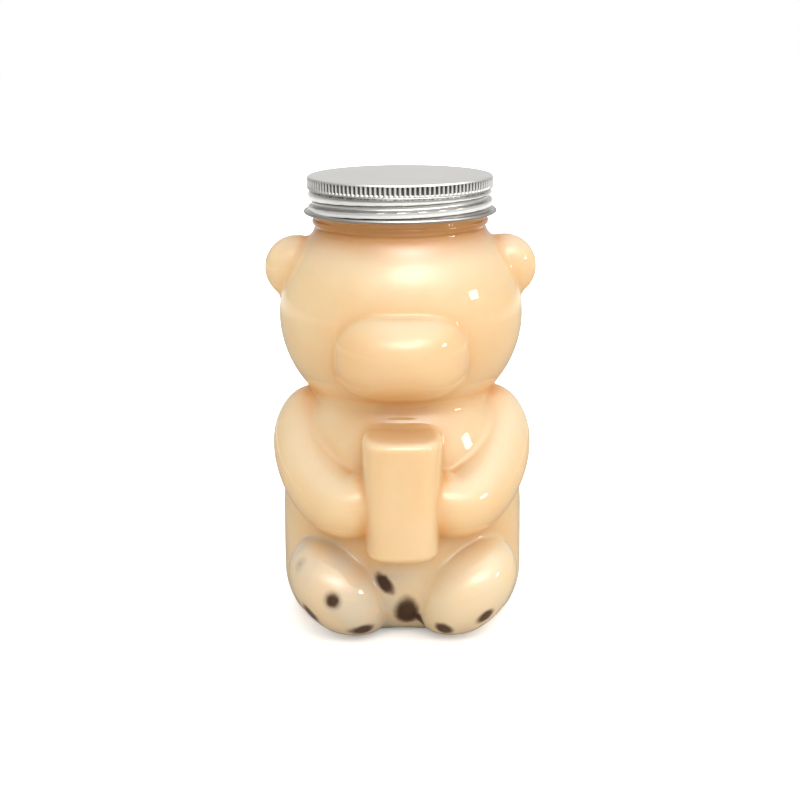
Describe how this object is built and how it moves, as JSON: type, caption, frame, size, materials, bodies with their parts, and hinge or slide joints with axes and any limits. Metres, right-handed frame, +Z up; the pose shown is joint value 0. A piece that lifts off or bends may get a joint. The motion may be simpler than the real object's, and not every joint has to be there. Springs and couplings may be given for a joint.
{
  "type": "animal-shaped drink bottle",
  "caption": "Clear plastic drink bottle shaped as a sitting bear, with a rolled aluminium screw lid, a sealing disc, milk tea and tapioca pearls inside.",
  "frame": {"origin": "middle of the overall box, at the height of the face that the bottle stands on", "axes": "+Z up through the lid, -Y the way the bear faces, +X towards the bear's left side"},
  "size_m": [0.089, 0.0873, 0.1471],
  "materials": {
    "clear_plastic": "clear, glossy",
    "satin_aluminium": "satin",
    "seal_foam": "matt",
    "milk_tea": "milky liquid",
    "tapioca": "glossy, soft"
  },
  "bodies": {
    "bottle": {"bottle": "clear_plastic", "milk_tea": "milk_tea", "tapioca_pearl_01": "tapioca", "tapioca_pearl_02": "tapioca", "tapioca_pearl_03": "tapioca", "tapioca_pearl_04": "tapioca", "tapioca_pearl_05": "tapioca", "tapioca_pearl_06": "tapioca", "tapioca_pearl_07": "tapioca", "tapioca_pearl_08": "tapioca", "tapioca_pearl_09": "tapioca"},
    "liner": {"cap_liner": "seal_foam"},
    "cap": {"cap": "satin_aluminium"}
  },
  "joints": [
    {"name": "cap_lift", "type": "slide", "parent": "bottle", "child": "liner", "axis": [0, 0, 1], "range_m": [0, 0.013]},
    {"name": "cap_turn", "type": "hinge", "parent": "liner", "child": "cap", "pos_m": [0, 0.0064, 0.1402], "axis": [0, 0, 1], "range_deg": [0, 1170]}
  ],
  "couplings": [
    {"joint": "cap_lift", "follows": "cap_turn", "m_per_rad": 0.00063662}
  ]
}
